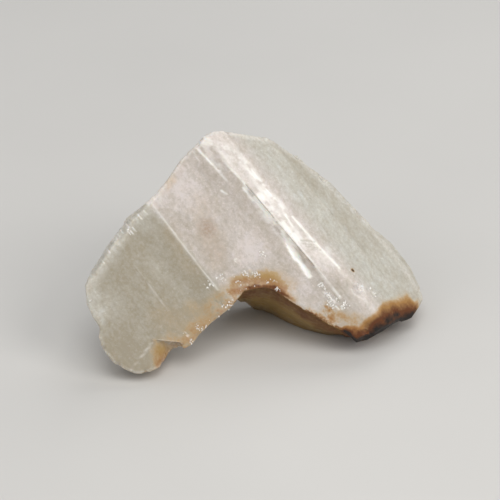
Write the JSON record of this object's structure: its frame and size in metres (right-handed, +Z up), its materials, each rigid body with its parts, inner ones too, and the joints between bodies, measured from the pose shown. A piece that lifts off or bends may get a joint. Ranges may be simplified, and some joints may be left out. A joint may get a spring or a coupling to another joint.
{
  "type": "calcite",
  "caption": "Milky, iron-stained calcite cleavage lump: a thin leaning leg and a thick bladed limb that meet in a low arch, resting on a foot and a keel.",
  "frame": {"origin": "centre of the bounding box on the surface that the stone rests on", "axes": "+Z up from that surface; +X along the stone's length, from the leg to the thick stained end; the big cleavage face looks towards -Y and leans back"},
  "size_m": [0.0808, 0.0504, 0.0493],
  "materials": {
    "calcite": "milky and translucent, pearly on its cleavage faces, with yellow-brown to rust-brown iron stain along the broken lower edges"
  },
  "bodies": {
    "root": {"calcite": "calcite"}
  },
  "joints": []
}
